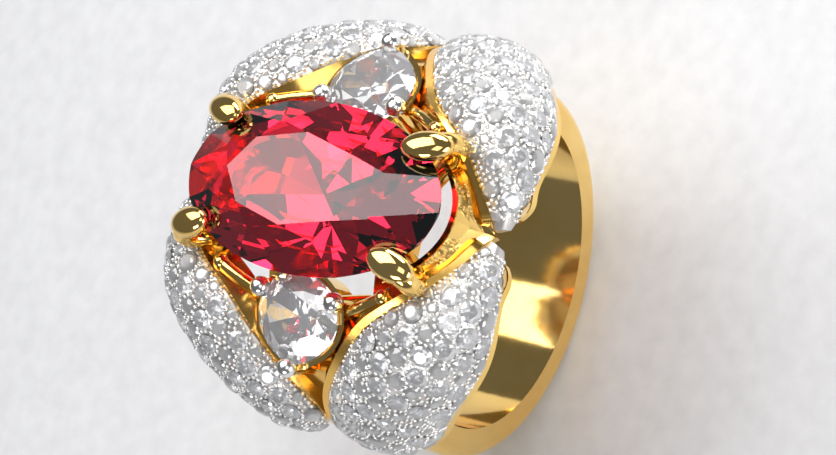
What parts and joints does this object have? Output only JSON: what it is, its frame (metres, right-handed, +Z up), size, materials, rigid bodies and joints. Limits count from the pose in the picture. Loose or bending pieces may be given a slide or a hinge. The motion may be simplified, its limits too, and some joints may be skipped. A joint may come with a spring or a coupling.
{
  "type": "cocktail ring",
  "caption": "Yellow gold cocktail ring with a claw-set oval red stone, pear-shaped white side stones and domed stone-set leaves in white metal.",
  "frame": {"origin": "centre of the finger hole", "axes": "+Y along the finger hole, +Z up through the centre stone, +X across towards one side stone"},
  "size_m": [0.0228, 0.021, 0.0251],
  "materials": {
    "yellow_gold": "polished",
    "white_gold": "polished",
    "ruby": "gloss",
    "diamond": "gloss"
  },
  "bodies": {
    "root": {"basket_base_rail": "yellow_gold", "basket_wall_north": "yellow_gold", "basket_wall_south": "yellow_gold", "bridge_bar_ne": "yellow_gold", "bridge_bar_nw": "yellow_gold", "bridge_bar_se": "yellow_gold", "bridge_bar_sw": "yellow_gold", "centre_claw_ne": "yellow_gold", "centre_claw_nw": "yellow_gold", "centre_claw_se": "yellow_gold", "centre_claw_sw": "yellow_gold", "centre_gem": "ruby", "end_panel_ne": "yellow_gold", "end_panel_nw": "yellow_gold", "end_panel_se": "yellow_gold", "end_panel_sw": "yellow_gold", "gallery_rail_north": "yellow_gold", "gallery_rail_south": "yellow_gold", "leaf_lip_ne": "yellow_gold", "leaf_lip_nw": "yellow_gold", "leaf_lip_se": "yellow_gold", "leaf_lip_sw": "yellow_gold", "leaf_plate_ne": "white_gold", "leaf_plate_nw": "white_gold", "leaf_plate_se": "white_gold", "leaf_plate_sw": "white_gold", "leaf_rim_ne": "yellow_gold", "leaf_rim_nw": "yellow_gold", "leaf_rim_se": "yellow_gold", "leaf_rim_sw": "yellow_gold", "leaf_stones_ne": "diamond", "leaf_stones_nw": "diamond", "leaf_stones_se": "diamond", "leaf_stones_sw": "diamond", "shank": "yellow_gold", "shoulder_tab_ne": "yellow_gold", "shoulder_tab_nw": "yellow_gold", "shoulder_tab_se": "yellow_gold", "shoulder_tab_sw": "yellow_gold", "shoulder_web_east": "yellow_gold", "shoulder_web_west": "yellow_gold", "side_claw_beads_east": "white_gold", "side_claw_beads_west": "white_gold", "side_claw_posts_east": "yellow_gold", "side_claw_posts_west": "yellow_gold", "side_collet_east": "yellow_gold", "side_collet_west": "yellow_gold", "side_gem_east": "diamond", "side_gem_west": "diamond"}
  },
  "joints": []
}
